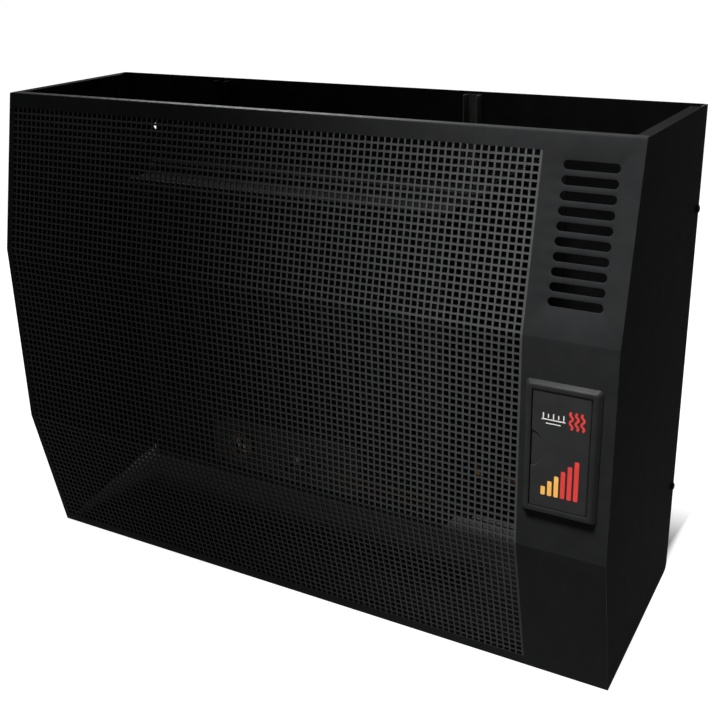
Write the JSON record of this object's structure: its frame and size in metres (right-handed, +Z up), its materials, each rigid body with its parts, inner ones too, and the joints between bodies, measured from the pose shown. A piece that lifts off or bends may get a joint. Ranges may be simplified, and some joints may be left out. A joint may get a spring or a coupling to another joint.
{
  "type": "wall mounted gas heater",
  "caption": "Wall hung gas convector: folded steel casing with a perforated front, vent slots, a hinged control door, a sealed combustion chamber and a balanced flue behind.",
  "frame": {"origin": "on the wall face of the back plate, at the middle of the casing's width and height", "axes": "+X to the right seen from the room, +Y into the wall, +Z up"},
  "size_m": [0.8476, 0.3311, 0.63],
  "materials": {
    "casing_coat": "fine matt powder coat",
    "chamber_enamel": "black stove enamel",
    "zinc_steel": "zinc plated, dull",
    "stainless": "satin",
    "brass": "machined",
    "copper": "drawn tube",
    "cast_aluminium": "die cast",
    "black_plastic": "fine grained",
    "knob_plastic": "satin",
    "red_plastic": "gloss",
    "sight_glass": "clear",
    "fibre": "pressed fibre",
    "ceramic": "glazed ceramic",
    "lead_rubber": "silicone sleeve",
    "magnet": "pressed ferrite"
  },
  "bodies": {
    "casing": {"front_panel": "casing_coat", "side_panel_left": "casing_coat", "side_panel_right": "casing_coat", "case_screw_upper_left": "casing_coat", "case_screw_lower_left": "casing_coat", "case_screw_upper_right": "casing_coat", "case_screw_lower_right": "casing_coat", "back_plate": "casing_coat", "strut_left": "casing_coat", "strut_right": "casing_coat", "chamber_shelf": "zinc_steel", "chamber_rail": "zinc_steel", "chamber_rear_shell": "chamber_enamel", "chamber_gasket": "fibre", "chamber_front_shell": "chamber_enamel", "chamber_baffle": "stainless", "flange_bolt_upper_left": "zinc_steel", "flange_bolt_lower_left": "zinc_steel", "flange_bolt_upper_right": "zinc_steel", "flange_bolt_lower_right": "zinc_steel", "air_duct": "zinc_steel", "duct_seal": "fibre", "exhaust_duct": "stainless", "air_box": "zinc_steel", "burner_tube": "stainless", "burner_saddle_left": "zinc_steel", "burner_saddle_right": "zinc_steel", "injector": "brass", "cover_gasket": "fibre", "burner_cover": "zinc_steel", "sight_glass": "sight_glass", "sight_glass_ring": "brass", "cover_screw_upper_left": "zinc_steel", "cover_screw_lower_left": "zinc_steel", "cover_screw_upper_right": "zinc_steel", "cover_screw_lower_right": "zinc_steel", "pilot_bracket": "zinc_steel", "pilot_burner": "copper", "thermocouple": "copper", "ignition_electrode": "ceramic", "ignition_lead": "lead_rubber", "gas_valve": "cast_aluminium", "valve_bracket": "zinc_steel", "control_plate": "casing_coat", "igniter_body": "black_plastic", "igniter_nut": "zinc_steel", "burner_pipe": "copper", "gas_inlet_pipe": "brass", "sensor_bulb": "copper", "bulb_clip": "zinc_steel", "heat_shield": "zinc_steel", "door_bezel": "black_plastic", "door_hinge_pin": "stainless", "door_magnet": "magnet"},
    "door": {"control_door": "black_plastic", "door_strike": "zinc_steel"},
    "sleeve": {"push_sleeve": "brass"},
    "knob": {"control_knob": "knob_plastic", "knob_spindle": "stainless"},
    "button": {"igniter_button": "red_plastic"}
  },
  "joints": [
    {"name": "door_hinge", "type": "hinge", "parent": "casing", "child": "door", "pos_m": [0.39465, -0.26715, -0.0052], "axis": [0, 0, 1], "range_deg": [0, 90]},
    {"name": "knob_push", "type": "slide", "parent": "casing", "child": "sleeve", "axis": [0, 1, 0], "range_m": [0, 0.004], "stiffness_N_per_m": 1500},
    {"name": "knob_turn", "type": "hinge", "parent": "sleeve", "child": "knob", "pos_m": [0.36535, -0.2383, -0.0252], "axis": [0, -1, 0], "range_deg": [0, 270]},
    {"name": "igniter_push", "type": "slide", "parent": "casing", "child": "button", "axis": [0, 1, 0], "range_m": [0, 0.006], "stiffness_N_per_m": 900}
  ]
}
